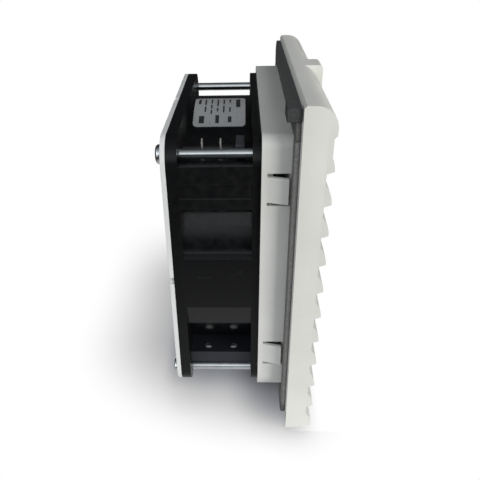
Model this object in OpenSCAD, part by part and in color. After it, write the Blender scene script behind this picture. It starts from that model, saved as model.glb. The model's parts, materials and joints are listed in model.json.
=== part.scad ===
// Enclosure filter fan: an axial fan with a louvred, hinged front cover that snaps into a square
// cut-out of a cabinet wall. X runs across the cover, Y into the cabinet, Z up. The origin is the
// middle of the cut-out, on the outer face of the wall.

/* [Fan] */
// Side of the square fan frame
fan_size = 119; // [112:1:124]
// Depth of the fan frame
fan_depth = 38; // [34:1:46]
// Radius of the frame's corners
fan_corner_r = 9.9; // [7:0.1:12]
// Distance from the frame's edge to the middle of a screw hole
hole_inset = 7.1; // [6.8:0.1:8]
// Thickness of the flange on the filter side
front_flange_t = 5.6; // [3:0.1:8]
// Thickness of the flange, arms and motor base on the outlet side
rear_flange_t = 4.4; // [3:0.1:6]
// Wall of the round duct
duct_wall = 2.2; // [1.4:0.1:3]
// How far the duct stays inside the frame's side
duct_inset = 0.5; // [0.2:0.1:1.5]
// Width of an arm that carries the motor
arm_w = 8; // [6:0.5:12]
// Height of the flat pad at the middle of a side
pad_h = 24; // [16:1:30]
// Height of the slanted band below a pad
band_h = 9.4; // [6:0.1:11]

/* [Impeller and motor] */
// Number of blades
blade_count = 7; // [5:1:9]
// Running gap between the blade tips and the duct
tip_gap = 0.9; // [0.6:0.1:2]
// Outer radius of the hub
hub_r = 32; // [31:0.5:36]
// Wall of the hub
hub_wall = 2; // [1.2:0.1:3]
// Thickness of a blade
blade_t = 1.8; // [1.2:0.1:3]
// Turn of a blade from its front edge to its rear edge, in degrees
blade_turn = 34; // [20:1:45]
// Wall of the steel rotor cup
cup_t = 1.5; // [1:0.1:2]
// Radius of the motor shaft
shaft_r = 2.5; // [2:0.1:3]
// Outer radius of a ball bearing
bearing_r = 6.5; // [6:0.1:8]
// Width of a ball bearing
bearing_w = 4; // [3:0.1:5]
// Number of slots in the stator
slot_count = 12; // [8:1:16]

/* [Housing] */
// Wall of the housing that passes through the cabinet wall
housing_wall = 1.8; // [1.2:0.1:3]
// Clearance round the fan in the housing's rim
fan_clearance = 0.3; // [0.2:0.1:0.8]
// Depth of the housing behind the cabinet wall's outer face
housing_depth = 10.9; // [10.5:0.1:16]
// How far the rim laps over the fan
rim_depth = 2.4; // [1:0.1:3]
// Radius of the housing's upper corners
housing_corner_r = 5; // [4:0.5:10]
// Thickness of the flange that lies outside the cabinet wall
flange_t = 1.6; // [1.2:0.1:2.4]
// Width of a snap tongue
tongue_w = 10.1; // [8:0.1:16]
// How far the free end of a snap tongue stands out
tongue_rise = 2.4; // [1.2:0.1:3.5]
// Slit above and below a snap tongue
tongue_slit = 1.4; // [0.4:0.1:2]

/* [Front cover] */
// How far the cover reaches past the housing at each side
cover_side = 8.9; // [7:0.1:16]
// How far the cover reaches above the housing
cover_top = 12.9; // [11:0.1:20]
// How far the cover reaches below the housing
cover_bottom = 13.8; // [12:0.1:20]
// Depth from the cover's rear edge to the slat tips
cover_depth = 11.75; // [11:0.05:16]
// Wall of the cover
cover_wall = 2; // [1.6:0.1:2.6]
// Number of slat tips, with the cover's own top edge as the first
slat_count = 12; // [10:1:13]
// How far a slat tip stands out from the side wall's edge
slat_proud = 2.7; // [2:0.1:3.4]
// Radius of a slat's outer face
slat_r = 12; // [11.5:0.1:13]
// Angle that a slat covers, in degrees
slat_turn = 66; // [55:1:68]
// Width of the finger tab on top
tab_w = 12.8; // [6:0.1:24]

/* [Gasket and filter] */
// Thickness of the foam gasket
gasket_t = 2; // [1.5:0.1:3]
// How far the foam bead in the top near corner stands out behind the gasket
bead_rise = 3.1; // [1:0.1:4]
// Height of the foam bead
bead_h = 4.6; // [2:0.1:6]
// Length of the foam bead along the top
bead_w = 10; // [6:0.5:30]
// Thickness of a bar of the filter grid
grid_t = 2; // [1.2:0.1:2.4]

/* [Fasteners and terminals] */
// Radius of the long screws
screw_r = 1.95; // [1.9:0.05:2.1]
// How far the end of a long screw stays inside its nut
screw_end_gap = 0.1; // [0:0.1:1]
// Radius of a screw head
head_r = 3.7; // [3.2:0.1:4.2]
// Height of a screw head
head_h = 2.2; // [1.6:0.1:3]
// Distance across the flats of a nut
nut_flats = 7; // [6.6:0.1:7.4]
// Thickness of a nut
nut_t = 3.2; // [2.4:0.1:3.4]
// Thickness of the finger guard
guard_t = 1.9; // [1.2:0.1:3]
// Width of a blade terminal
blade_terminal_w = 2.8; // [2.8:0.1:6.3]
// Radius of a hinge pin
pin_r = 1; // [0.8:0.05:1.2]

/* [Hidden] */
$fn = 64;

// Clearances and the overrun of a cut
fit = 0.05;
play = 0.3;
cut = 1;

// Housing and fan along the depth
housing_half = fan_size / 2 + fan_clearance + housing_wall;
chamber_half = housing_half - housing_wall;
housing_low_r = fan_corner_r + fan_clearance + housing_wall;
fan_front = housing_depth - rim_depth;
fan_back = fan_front + fan_depth;
seat_t = 2;
seat_front = fan_front - seat_t;
grid_front = 1;
flange_front = -gasket_t - flange_t;
guard_back = fan_back + guard_t;
hole_half = fan_size / 2 - hole_inset;
hole_r = screw_r + play;
screw_end = seat_front - nut_t + screw_end_gap;
boss_wall = 2.2;
boss_r = nut_flats / 2 + boss_wall;

// Cover outline
cover_half = housing_half + cover_side;
cover_w = 2 * cover_half;
cover_up = housing_half + cover_top;
cover_down = housing_half + cover_bottom;
cover_gap = 0.35;
cover_back = -gasket_t - cover_gap;
tip_y = cover_back - cover_depth;
edge_y = tip_y + slat_proud;
top_flat = 4.05;
top_drop = 10.1;
bottom_rise = 2.3;
underside_drop = 0.9;
slat_t = 1.8;
slat_pitch = (cover_up + cover_down - top_drop - bottom_rise) / (slat_count - 1);
first_proud_share = 0.4;
arc_steps = 8;
rib_t = 1.6;
rib_place_share = 1 / 3;
tab_drop = 0.25;
tab_reach = 2.1;
tab_corner = 1.9;

// Flange, lip and gasket
lip_t = 1;
lip_gap = 0.2;
flange_half = cover_half - lip_t - lip_gap;
flange_up = cover_up - lip_t - lip_gap;
flange_low_gap = 4.8;
flange_down = cover_down - flange_low_gap;
flange_corner_r = 8;
gasket_inset = 0.3;
gasket_half = flange_half - gasket_inset;
gasket_gap = 0.4;
gasket_in = housing_half + gasket_gap;

// Hinge at the bottom
hinge_setback = 2.15;
hinge_y = cover_back - hinge_setback;
hinge_rise = 2.4;
hinge_z = hinge_rise - cover_down;
lug_r = 1.8;
lug_w = 8;
lug_h = 5.4;
lug_place_share = 0.68;
lug_x = cover_half * lug_place_share;
knuckle_r = 1.9;
knuckle_w = 5;
pin_l = lug_w + 2 * play + 2 * knuckle_w;

// Latch posts and their slots in the flange
latch_place_share = 0.43;
latch_x = cover_half * latch_place_share;
latch_w = 7.4;
latch_t = 1.4;
latch_z = (housing_half + flange_up) / 2;
latch_gap = 0.2;
latch_end = -gasket_t - latch_gap;
latch_root = cover_back - 2 * top_flat;

// Snap tongues
tongue_shares = [0.673, -0.6];
tongue_back = 2.2;
tongue_root = housing_depth - tongue_back;
tongue_tip = 0.8;
tongue_window = 1.1;

// Filter
filter_gap = 0.6;
slat_inner_y = tip_y + slat_r - (slat_r - slat_t) * cos(slat_turn);
filter_front = slat_inner_y + play;
filter_back = grid_front - play;
grid_bars = 5;
grid_bar_w = 1.6;

// Duct, pads, arms and motor base
duct_r = fan_size / 2 - duct_inset;
bore_r = duct_r - duct_wall;
flange_gap_front = fan_front + front_flange_t;
flange_gap_back = fan_back - rear_flange_t;
pad_low_share = 0.565;
pad_low = pad_h * pad_low_share;
pad_top = pad_h - pad_low;
pad_slope = 1.7;
band_step = 0.3;
band_slope = 1.4;
hub_inset = 0.5;
base_r = hub_r - hub_inset;
base_play = 1.5;
base_bore = shaft_r + base_play;
base_floor = 1.6;
tube_wall = 2;
tube_r = bearing_r + tube_wall;
arm_lap = 2;

// Terminal box in the upper near corner
box_gap = 0.45;
box_top = hole_half - screw_r - box_gap;
box_side = fan_size / 2;
box_low_share = 0.65;
box_low = box_top * box_low_share;
groove_low_share = 0.74;
groove_high_share = 0.86;
groove_depth = 0.5;
block_gap = 1.2;
block_near = hole_half - screw_r - block_gap;
block_w = 12;
block_h = 6;
block_setback = 3;
block_front = flange_gap_front + block_setback;
block_wall_h = 4.6;
block_wall_w = 3.4;
terminal_t = 0.5;
terminal_rise = 5;
terminal_y_shares = [0.44, 0.7];
terminal_mid = block_near - block_w / 2;
terminal_eye_shares = [0.55, 0.17];

// Shelf in the lower corners
shelf_out = hole_half;
shelf_top_share = 0.843;
shelf_top = hole_half * shelf_top_share;
shelf_t = 1.6;
shelf_lip_t = 1.6;
shelf_lip_gap = 0.35;
shelf_lip_low = hole_half - screw_r - shelf_lip_gap;
shelf_hole_r = 1.7;
shelf_hole_inset = 4.8;
shelf_hole_shares = [0.29, 0.71];

// Label on the duct
label_t = 0.25;
label_near_angle = 24;
label_far_angle = -0.6;
label_front_gap = 2.6;
label_back_gap = 3.3;
label_front = flange_gap_front + label_front_gap;
label_back = flange_gap_back - label_back_gap;

// Motor along the depth
hub_setback = 2;
hub_front = fan_front + hub_setback;
hub_gap = 3.6;
hub_back = flange_gap_back - hub_gap;
cup_front = hub_front + hub_wall;
cup_inner = cup_front + cup_t;
cup_r = hub_r - hub_wall;
cup_boss_l = 1;
tube_gap = 2.5;
tube_front = cup_inner + tube_gap;
front_bearing_inset = 0.4;
front_bearing_y = tube_front + front_bearing_inset;
rear_bearing_inset = 1.2;
rear_bearing_y = flange_gap_back - rear_bearing_inset - bearing_w;
air_gap = 0.4;
cage_r = cup_r - cup_t;
cage_t = 3.6;
cage_over = 2;
core_r = cage_r - cage_t - air_gap;
core_offset = 0.4;
core_mid = (cup_inner + flange_gap_back) / 2 + core_offset;
core_l = 14;
slot_w = 3.2;
slot_floor = 3.4;
slot_in = tube_r + slot_floor;
slot_lip = 1.6;
slot_out = core_r - slot_lip;
coil_gap = 0.15;
end_turn = 3;
insulator_t = 0.8;
insulator_inset = 0.6;
ring_t = 0.8;
ring_w = 1.3;
washer_t = 0.5;
washer_w = 1.5;
washer_play = 0.2;
blade_setback = 2.6;
blade_front = hub_front + blade_setback;
blade_gap = 0.8;
blade_l = hub_back - blade_front - blade_gap;
blade_root = 0.6;
blade_slices = 10;
blade_facets = 4;
tip_r = bore_r - tip_gap;

// Leads in the arm towards the terminals
lead_angle = 225;
lead_r = 0.8;
lead_step = 2.4;
lead_inset = 2;
lead_in = slot_out - lead_inset;
lead_out = norm([terminal_mid, box_top - block_h / 2]);
lead_sink = 1;
lead_y = flange_gap_back + lead_sink;

// Finger guard rings
guard_rings = 5;
guard_mid_r = 17;
guard_bar = 2;
guard_spoke_w = 2.6;
guard_notch_r = 1.6;
guard_edge = 0.6;
guard_out_r = bore_r - guard_edge;
guard_step = (guard_out_r - guard_mid_r) / guard_rings;

// Extrude a shape drawn in X and Z from y0 to y1
module slab(y0, y1) {
    translate([0, y1, 0]) rotate([90, 0, 0]) linear_extrude(y1 - y0) children();
}

// Extrude a shape drawn in Y and Z from x0 to x1
module across(x0, x1) {
    translate([x0, 0, 0]) rotate([90, 0, 90]) linear_extrude(x1 - x0) children();
}

// Round bar along Y
module round_bar(r, y0, y1) {
    translate([0, y0, 0]) rotate([-90, 0, 0]) cylinder(h = y1 - y0, r = r);
}

module pipe(outer, inner, y0, y1) {
    difference() {
        round_bar(outer, y0, y1);
        round_bar(inner, y0 - cut, y1 + cut);
    }
}

// Plain box between two corners
module block(low, high) {
    translate(low) cube(high - low);
}

// Rectangle with round corners
module soft_rect(half, low, high, r) {
    translate([-half + r, low]) square([2 * half - 2 * r, high - low]);
    translate([-half, low + r]) square([2 * half, high - low - 2 * r]);
    for (x = [-half + r, half - r], z = [low + r, high - r]) translate([x, z]) circle(r);
}

// The housing's outline, or one set in from it; the lower corners run round the fan's corners
module housing_rect(half, inset) {
    top_r = housing_corner_r - inset;
    low_r = housing_low_r - inset;
    translate([-half + top_r, 0]) square([2 * half - 2 * top_r, half]);
    translate([-half + low_r, -half]) square([2 * half - 2 * low_r, half + cut]);
    translate([-half, low_r - half]) square([2 * half, 2 * half - low_r - top_r]);
    for (s = [-1, 1]) {
        translate([s * (half - top_r), half - top_r]) circle(top_r);
        translate([s * (half - low_r), low_r - half]) circle(low_r);
    }
}

module at_holes() {
    for (x = [-hole_half, hole_half], z = [-hole_half, hole_half]) translate([x, 0, z]) children();
}

function tip_z(i) = cover_up - top_drop - i * slat_pitch;

// Arc of a slat's face, from its tip upwards
function slat_arc(i, r, angle) = [for (k = [0 : arc_steps])
    [tip_y + slat_r - r * cos(angle * k / arc_steps), tip_z(i) + r * sin(angle * k / arc_steps)]];

// Round top of the cover, from the flat on top down to the first tip
function top_arc(inset) = let (reach = cover_back - top_flat - tip_y)
    [for (k = [0 : arc_steps]) let (a = 90 * k / arc_steps)
        [cover_back - top_flat - (reach - inset) * sin(a), cover_up - reach + (reach - inset) * cos(a)]];

function reversed(points) = [for (k = [len(points) - 1 : -1 : 0]) points[k]];

// How far the side wall's edge stays behind the tips in notch i; the first notch is shallow
function notch(i) = i == 1 ? slat_proud * first_proud_share : slat_proud;

// Edge of the side wall between tip i - 1 and tip i, from the top down
function tooth(i) = concat(
    [[tip_y + notch(i), tip_z(i - 1) - underside_drop]],
    reversed(slat_arc(i, slat_r, acos(1 - notch(i) / slat_r))));

function teeth() = [for (i = [1 : slat_count - 1]) each tooth(i)];

module side_outline() {
    polygon(concat([[cover_back, -cover_down], [cover_back, cover_up]], top_arc(0),
        [[tip_y, tip_z(0)]], teeth()));
}

module slat(i) {
    polygon(concat(slat_arc(i, slat_r, slat_turn), reversed(slat_arc(i, slat_r - slat_t, slat_turn))));
}

module top_wall() {
    polygon(concat([[cover_back, cover_up]], top_arc(0), [[tip_y, tip_z(0)]],
        [[tip_y + cover_wall, tip_z(0)]], reversed(top_arc(cover_wall)),
        [[cover_back, cover_up - cover_wall]]));
}

module bottom_wall() {
    polygon([[cover_back, -cover_down], [cover_back, cover_wall - cover_down],
        [tip_y + slat_t, tip_z(slat_count - 1) + cover_wall], [tip_y, tip_z(slat_count - 1)]]);
}

module tab_outline() {
    top = cover_up - tab_drop;
    front = tip_y - tab_reach;
    corner = [for (k = [0 : arc_steps]) let (a = 90 * k / arc_steps)
        [front + tab_corner * (1 - sin(a)), top - tab_corner * (1 - cos(a))]];
    polygon(concat([[cover_back - top_flat, cover_up - cover_wall], [cover_back - top_flat, top]], corner,
        [[front, tip_z(0) - underside_drop], [tip_y + cover_wall, tip_z(0) - underside_drop]]));
}

module at_lugs() {
    for (x = [-lug_x, lug_x]) translate([x, hinge_y, hinge_z]) children();
}

module hinge_bar(r, length) {
    rotate([0, 90, 0]) cylinder(h = length, r = r, center = true);
}

module front_cover() {
    color("#e4e5e0") difference() {
        union() {
            for (s = [-1, 1])
                across(min(s * cover_half, s * (cover_half - cover_wall)),
                    max(s * cover_half, s * (cover_half - cover_wall))) side_outline();
            across(-cover_half + cut, cover_half - cut) top_wall();
            across(-cover_half + cut, cover_half - cut) bottom_wall();
            for (i = [1 : slat_count - 1]) across(-cover_half + cut, cover_half - cut) slat(i);
            for (s = [-1, 1]) translate([s * cover_half * rib_place_share, 0, 0])
                block([-rib_t / 2, edge_y + slat_t / 4, bottom_rise + fit - cover_down],
                    [rib_t / 2, slat_inner_y, cover_up - cover_wall - rib_t / 4]);
            across(-tab_w / 2, tab_w / 2) tab_outline();
            at_lugs() hinge_bar(knuckle_r, pin_l);
            for (s = [-1, 1]) translate([s * latch_x, 0, latch_z]) {
                block([-latch_w / 2, latch_root, -latch_t / 2], [latch_w / 2, latch_end, latch_t / 2]);
                block([-latch_w / 2, latch_root, -latch_t / 2],
                    [latch_w / 2, flange_front - play, cover_up - latch_z - lip_t - fit]);
            }
        }
        block([lip_t - cover_half, flange_front - play, hinge_z + lug_r],
            [cover_half - lip_t, flange_front - play + cut + cover_wall * 4, cover_up - lip_t]);
        at_lugs() block([-lug_w / 2 - play, -lug_r - play, -cover_wall - cut],
            [lug_w / 2 + play, lug_r + cut, lug_r + play]);
        at_lugs() hinge_bar(pin_r, pin_l + 2 * cut);
    }
}

module hinge_pins() {
    color("#b9bcc0") at_lugs() hinge_bar(pin_r, pin_l);
}

module filter_mat() {
    color("#f0f0ec") slab(filter_front, filter_back)
        housing_rect(chamber_half - filter_gap, housing_wall);
}

module snap_tongue() {
    linear_extrude(tongue_w, center = true) polygon([
        [housing_half, tongue_root], [housing_half + tongue_rise, tongue_tip],
        [housing_half + tongue_rise - housing_wall, tongue_tip],
        [chamber_half, tongue_root], [chamber_half, tongue_root + play],
        [housing_half, tongue_root + play]]);
}

module at_tongues() {
    for (s = [0, 1], share = tongue_shares)
        mirror([s, 0, 0]) translate([0, 0, share * housing_half]) children();
}

module housing_shell() {
    difference() {
        slab(-gasket_t - flange_t / 2, housing_depth) housing_rect(housing_half, 0);
        slab(-gasket_t - flange_t - cut, seat_front) housing_rect(chamber_half, housing_wall);
        slab(fan_front, housing_depth + cut) housing_rect(chamber_half, housing_wall);
        round_bar(bore_r, seat_front - cut, fan_front + cut);
        at_tongues() block([chamber_half - cut, tongue_tip - tongue_window, -tongue_w / 2 - tongue_slit],
            [housing_half + cut, tongue_root, tongue_w / 2 + tongue_slit]);
    }
}

module filter_grid() {
    for (k = [1 : grid_bars]) {
        place = chamber_half * (2 * k / (grid_bars + 1) - 1);
        block([place - grid_bar_w / 2, grid_front, -chamber_half - fit],
            [place + grid_bar_w / 2, grid_front + grid_t, chamber_half + fit]);
        block([-chamber_half - fit, grid_front, place - grid_bar_w / 2],
            [chamber_half + fit, grid_front + grid_t, place + grid_bar_w / 2]);
    }
}

module base_housing() {
    color("#dfe0dc") difference() {
        union() {
            housing_shell();
            slab(flange_front, -gasket_t) difference() {
                soft_rect(flange_half, -flange_down, flange_up, flange_corner_r);
                housing_rect(chamber_half, housing_wall);
            }
            filter_grid();
            at_holes() round_bar(boss_r, seat_front - nut_t, seat_front + fit);
            at_tongues() snap_tongue();
            at_lugs() hinge_bar(lug_r, lug_w);
            at_lugs() block([-lug_w / 2, -lug_r, 0],
                [lug_w / 2, flange_front + flange_t / 2 - hinge_y, lug_h]);
        }
        at_holes() round_bar(hole_r, -gasket_t, fan_front + cut);
        at_holes() translate([0, seat_front, 0]) rotate([90, 0, 0])
            cylinder(h = nut_t + cut, r = (nut_flats / 2 + fit) / cos(30), $fn = 6);
        at_lugs() hinge_bar(pin_r + fit, lug_w + 2 * cut);
        for (s = [-1, 1]) translate([s * latch_x, 0, latch_z])
            block([-latch_w / 2 - play, flange_front - cut, -latch_t / 2 - play],
                [latch_w / 2 + play, cut - gasket_t, latch_t / 2 + play]);
    }
}

module gasket_top() {
    color("#55575a") difference() {
        union() {
            slab(-gasket_t, 0) soft_rect(gasket_half, -flange_down, flange_up, flange_corner_r);
            block([-gasket_half, -gasket_t, flange_up - bead_h],
                [bead_w - gasket_half, bead_rise, flange_up]);
        }
        block([-cover_half, -gasket_t - cut, -cover_down], [cover_half, cut, gasket_in]);
    }
}

module gasket_bottom() {
    color("#55575a") slab(-gasket_t, 0) difference() {
        soft_rect(gasket_half, -flange_down, flange_up, flange_corner_r);
        translate([-cover_half, -gasket_in]) square([cover_w, cover_half + cover_w]);
    }
}

module gasket_side(s) {
    inner = s * gasket_in;
    outer = s * gasket_half;
    color("#5d5f62") block([min(inner, outer), -gasket_t, -gasket_in], [max(inner, outer), 0, gasket_in]);
}

module gasket_left() {
    gasket_side(-1);
}

module gasket_right() {
    gasket_side(1);
}

// Outline of a side pad and the slanted band below it, on the far side
module pad_outline() {
    side = fan_size / 2;
    polygon([[0, pad_top + pad_slope], [side - pad_slope, pad_top + pad_slope], [side, pad_top],
        [side, -pad_low], [side - band_step, -pad_low], [side - band_step - band_slope, -pad_low - band_h],
        [0, -pad_low - band_h]]);
}

module terminal_box_outline() {
    low = box_low;
    groove_low = box_top * groove_low_share;
    groove_high = box_top * groove_high_share;
    polygon([[-box_side, low], [-box_side, groove_low], [groove_depth - box_side, groove_low],
        [groove_depth - box_side, groove_high], [-box_side, groove_high], [-box_side, box_top],
        [-bore_r / 2, box_top], [-bore_r / 2, low]]);
}

module lead_groove() {
    rotate([0, lead_angle, 0]) block([lead_in - cut, flange_gap_back - cut, -lead_step / 2 - lead_r - fit],
        [lead_out + lead_r + fit, lead_y + lead_r + fit, lead_step / 2 + lead_r + fit]);
}

module block_space() {
    block([-block_near, block_front, box_top - block_h],
        [block_w - block_near, flange_gap_back + cut, box_top + cut]);
}

module fan_plate(y0, y1) {
    slab(y0, y1) soft_rect(fan_size / 2, -fan_size / 2, fan_size / 2, fan_corner_r);
}

module fan_front_flange() {
    color("#1d1e20") difference() {
        fan_plate(fan_front, flange_gap_front);
        round_bar(bore_r, fan_front - cut, flange_gap_front + cut);
        at_holes() round_bar(hole_r, fan_front - cut, flange_gap_front + cut);
    }
}

module fan_duct() {
    color("#1f2022") difference() {
        union() {
            round_bar(duct_r, flange_gap_front, flange_gap_back);
            slab(flange_gap_front, flange_gap_back) {
                for (s = [0, 1]) mirror([s, 0]) pad_outline();
                translate([-pad_h / 2, -fan_size / 2]) square([pad_h, fan_size / 2]);
            }
        }
        round_bar(bore_r, flange_gap_front - cut, flange_gap_back + cut);
        block_space();
    }
}

module fan_terminal_box() {
    color("#1d1e20") difference() {
        slab(flange_gap_front, flange_gap_back) terminal_box_outline();
        round_bar(duct_r, flange_gap_front - cut, flange_gap_back + cut);
        block_space();
    }
}

module fan_shelves() {
    gap = flange_gap_back - flange_gap_front;
    color("#1d1e20") for (s = [0, 1]) mirror([s, 0, 0]) difference() {
        union() {
            block([0, flange_gap_front, -shelf_top - shelf_t], [shelf_out, flange_gap_back, -shelf_top]);
            block([shelf_out - shelf_lip_t, flange_gap_front, -shelf_lip_low],
                [shelf_out, flange_gap_back, -shelf_top]);
        }
        round_bar(duct_r, flange_gap_front - cut, flange_gap_back + cut);
        for (share = shelf_hole_shares)
            translate([shelf_out - shelf_hole_inset, flange_gap_front + gap * share,
                -shelf_top - shelf_t - cut]) cylinder(h = shelf_t + 2 * cut, r = shelf_hole_r);
    }
}

module fan_rear_flange() {
    color("#1d1e20") difference() {
        union() {
            difference() {
                fan_plate(flange_gap_back, fan_back);
                round_bar(bore_r, flange_gap_back - cut, fan_back + cut);
            }
            for (angle = [45 : 90 : 315])
                rotate([0, angle, 0]) block([base_r - arm_lap, flange_gap_back, -arm_w / 2],
                    [duct_r - duct_wall / 2, fan_back, arm_w / 2]);
        }
        round_bar(base_r, flange_gap_back - cut, fan_back + cut);
        at_holes() round_bar(hole_r, flange_gap_back - cut, fan_back + cut);
        lead_groove();
    }
}

module motor_base() {
    color("#232427") difference() {
        union() {
            round_bar(base_r, flange_gap_back, fan_back);
            round_bar(tube_r, tube_front, fan_back);
        }
        round_bar(bearing_r, tube_front - cut, flange_gap_back);
        round_bar(base_bore, flange_gap_back - cut, fan_back - base_floor);
        lead_groove();
    }
}

module finger_guard() {
    color("#eef0f1") slab(fan_back, guard_back) difference() {
        soft_rect(fan_size / 2, -fan_size / 2, fan_size / 2, fan_corner_r);
        for (k = [0 : guard_rings - 1]) difference() {
            circle(guard_mid_r + (k + 1) * guard_step - guard_bar / 2);
            circle(guard_mid_r + k * guard_step + guard_bar / 2);
            for (angle = [0 : 45 : 135]) rotate(angle) square([fan_size, guard_spoke_w], center = true);
        }
        for (x = [-hole_half, hole_half], z = [-hole_half, hole_half]) translate([x, z]) circle(hole_r);
        for (angle = [0 : 90 : 270]) rotate(angle) translate([fan_size / 2, 0]) circle(guard_notch_r);
    }
}

module long_screws() {
    cross = head_r * 1.1;
    cross_w = head_r * 0.24;
    color("#c9ccd2") at_holes() {
        round_bar(screw_r, screw_end, guard_back + fit);
        difference() {
            round_bar(head_r, guard_back, guard_back + head_h);
            for (angle = [45, 135]) rotate([0, angle, 0])
                block([-cross / 2, guard_back + head_h / 2, -cross_w / 2],
                    [cross / 2, guard_back + head_h + cut, cross_w / 2]);
        }
    }
}

module hex_nuts() {
    color("#b3b6bb") at_holes() difference() {
        translate([0, seat_front, 0]) rotate([90, 0, 0])
            cylinder(h = nut_t, r = nut_flats / 2 / cos(30), $fn = 6);
        round_bar(screw_r + fit, seat_front - nut_t - cut, seat_front + cut);
    }
}

module at_terminals() {
    for (share = terminal_y_shares)
        translate([-terminal_mid, flange_gap_front + (flange_gap_back - flange_gap_front) * share, 0])
            children();
}

module terminal_space(rise) {
    at_terminals() block([-blade_terminal_w / 2, -terminal_t / 2, box_top - block_h + play],
        [blade_terminal_w / 2, terminal_t / 2, box_top + rise]);
}

module terminal_block() {
    color("#3a3d42") difference() {
        union() {
            block([-block_near, block_front, box_top - block_h],
                [block_w - block_near, flange_gap_back, box_top]);
            block([-block_near, block_front, box_top - play],
                [block_w - block_near, block_front + block_wall_w, box_top + block_wall_h]);
        }
        terminal_space(cut);
    }
}

module blade_terminals() {
    color("#d5d7d2") difference() {
        terminal_space(terminal_rise);
        at_terminals() translate([0, 0, box_top + terminal_rise * terminal_eye_shares[0]])
            rotate([90, 0, 0]) cylinder(h = terminal_t + 2 * cut,
                r = blade_terminal_w * terminal_eye_shares[1], center = true);
    }
}

module rating_label() {
    reach = fan_size;
    color("#b4b7b8") intersection() {
        pipe(duct_r + label_t, duct_r, label_front, label_back);
        slab(label_front, label_back) polygon([[0, 0],
            [-reach * sin(label_far_angle), reach * cos(label_far_angle)],
            [-reach * sin(label_near_angle), reach * cos(label_near_angle)]]);
    }
}

module motor_leads() {
    coil_back = core_mid + core_l / 2 + insulator_t + end_turn;
    color("#303338") for (s = [-1, 1])
        rotate([0, lead_angle, 0]) translate([lead_in, 0, s * lead_step / 2]) {
            translate([0, lead_y, 0]) rotate([0, 90, 0]) cylinder(h = lead_out - lead_in, r = lead_r);
            round_bar(lead_r, coil_back, lead_y);
            translate([0, lead_y, 0]) sphere(lead_r);
        }
}

module impeller() {
    color("#26282b") {
        pipe(hub_r, cup_r, hub_front, hub_back);
        round_bar(hub_r - fit, hub_front, cup_front);
        for (k = [0 : blade_count - 1]) translate([0, blade_front, 0])
            rotate([-90, 360 * k / blade_count, 0])
                linear_extrude(blade_l, twist = blade_turn, slices = blade_slices, segments = blade_facets)
                    translate([hub_r - blade_root, -blade_t / 2])
                        square([tip_r - hub_r + blade_root, blade_t]);
    }
}

module rotor_cup() {
    color("#8d9196") difference() {
        union() {
            pipe(cup_r, cage_r, cup_front, hub_back);
            round_bar(cup_r, cup_front, cup_inner);
            round_bar(2 * shaft_r, cup_front, cup_inner + cup_boss_l);
        }
        round_bar(shaft_r, cup_front - cut, cup_inner + cup_boss_l + cut);
    }
}

module rotor_cage() {
    color("#a7aab0") pipe(cage_r, cage_r - cage_t, core_mid - core_l / 2 - cage_over,
        core_mid + core_l / 2 + cage_over);
}

module shaft() {
    color("#c3c6cb") round_bar(shaft_r, cup_front, fan_back - base_floor - play);
}

module at_slots() {
    for (k = [0 : slot_count - 1]) rotate([0, 360 * k / slot_count, 0]) children();
}

module stator_core() {
    color("#7b7f86") difference() {
        pipe(core_r, tube_r, core_mid - core_l / 2, core_mid + core_l / 2);
        at_slots() block([slot_in, core_mid - core_l, -slot_w / 2],
            [slot_out, core_mid + core_l, slot_w / 2]);
    }
}

module stator_windings() {
    inner = core_mid - core_l / 2 - insulator_t;
    outer = core_mid + core_l / 2 + insulator_t;
    color("#b26a35") {
        at_slots() block([slot_in + coil_gap, inner - fit, -slot_w / 2 + coil_gap],
            [slot_out - coil_gap, outer + fit, slot_w / 2 - coil_gap]);
        pipe(slot_out, slot_in, inner - end_turn, inner);
        pipe(slot_out, slot_in, outer, outer + end_turn);
    }
}

module winding_insulators() {
    color("#cfc9a8") for (s = [-1, 1]) {
        y = core_mid + s * (core_l + insulator_t) / 2;
        difference() {
            pipe(core_r - insulator_inset, tube_r, y - insulator_t / 2, y + insulator_t / 2);
            at_slots() block([slot_in, y - insulator_t, -slot_w / 2],
                [slot_out, y + insulator_t, slot_w / 2]);
        }
    }
}

module ball_bearing(y) {
    color("#bfc2c7") pipe(bearing_r, shaft_r + fit, y, y + bearing_w);
}

module front_bearing() {
    ball_bearing(front_bearing_y);
}

module rear_bearing() {
    ball_bearing(rear_bearing_y);
}

module retaining_ring() {
    color("#9a9da2") pipe(shaft_r + ring_w, shaft_r, rear_bearing_y + bearing_w + fit * 2,
        rear_bearing_y + bearing_w + fit * 2 + ring_t);
}

module wave_washer() {
    color("#a9acb1") pipe(shaft_r + washer_play + washer_w, shaft_r + washer_play,
        front_bearing_y - washer_t - fit, front_bearing_y - fit);
}

front_cover();
hinge_pins();
filter_mat();
base_housing();
gasket_top();
gasket_bottom();
gasket_left();
gasket_right();
fan_front_flange();
fan_duct();
fan_terminal_box();
fan_shelves();
fan_rear_flange();
motor_base();
finger_guard();
long_screws();
hex_nuts();
terminal_block();
blade_terminals();
rating_label();
motor_leads();
impeller();
rotor_cup();
rotor_cage();
shaft();
stator_core();
stator_windings();
winding_insulators();
front_bearing();
rear_bearing();
retaining_ring();
wave_washer();
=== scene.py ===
import json
import math

import bmesh
import bpy
from mathutils import Matrix, Vector

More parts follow.
